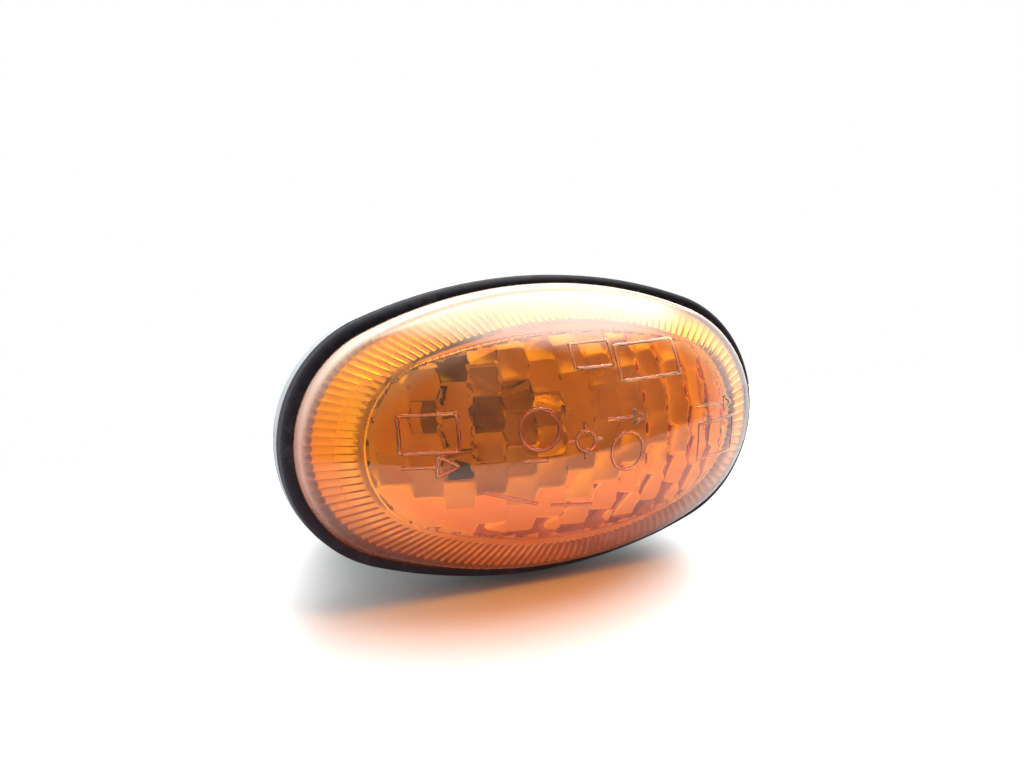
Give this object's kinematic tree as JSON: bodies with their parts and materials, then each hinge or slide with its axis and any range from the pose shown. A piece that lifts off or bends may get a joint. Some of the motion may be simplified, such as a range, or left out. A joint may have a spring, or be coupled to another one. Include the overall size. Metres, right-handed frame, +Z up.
{
  "type": "side repeater lamp",
  "caption": "Oval amber side repeater lamp with fluted dome lens, black rubber gasket, clip-in housing, wedge bulb and rear connector.",
  "frame": {"origin": "centre of the seat on the body panel, in the plane of the housing flange's rear face", "axes": "+X along the lamp's length, -Y the way the lens faces, +Z up with the long axis level"},
  "size_m": [0.072, 0.0619, 0.0412],
  "materials": {
    "amber_lens": "polished amber PMMA, clear through the wall",
    "black_rubber": "matt EPDM, lightly dusty",
    "grey_housing": "pale grey moulded ABS",
    "spring_steel": "bright spring steel",
    "bulb_glass": "clear glass",
    "tungsten": "drawn tungsten",
    "lead_wire": "nickel-plated wire",
    "grey_holder": "pale grey glass-filled polyester, PBT",
    "contact_brass": "tinned brass strip"
  },
  "bodies": {
    "root": {"lens": "amber_lens", "gasket": "black_rubber", "housing": "grey_housing", "spring_clip": "spring_steel", "bulb_glass": "bulb_glass", "bulb_filament": "tungsten", "lead_left": "lead_wire", "lead_right": "lead_wire", "bulb_holder": "grey_holder", "holder_seal": "black_rubber", "contact_left": "contact_brass", "contact_right": "contact_brass"}
  },
  "joints": []
}
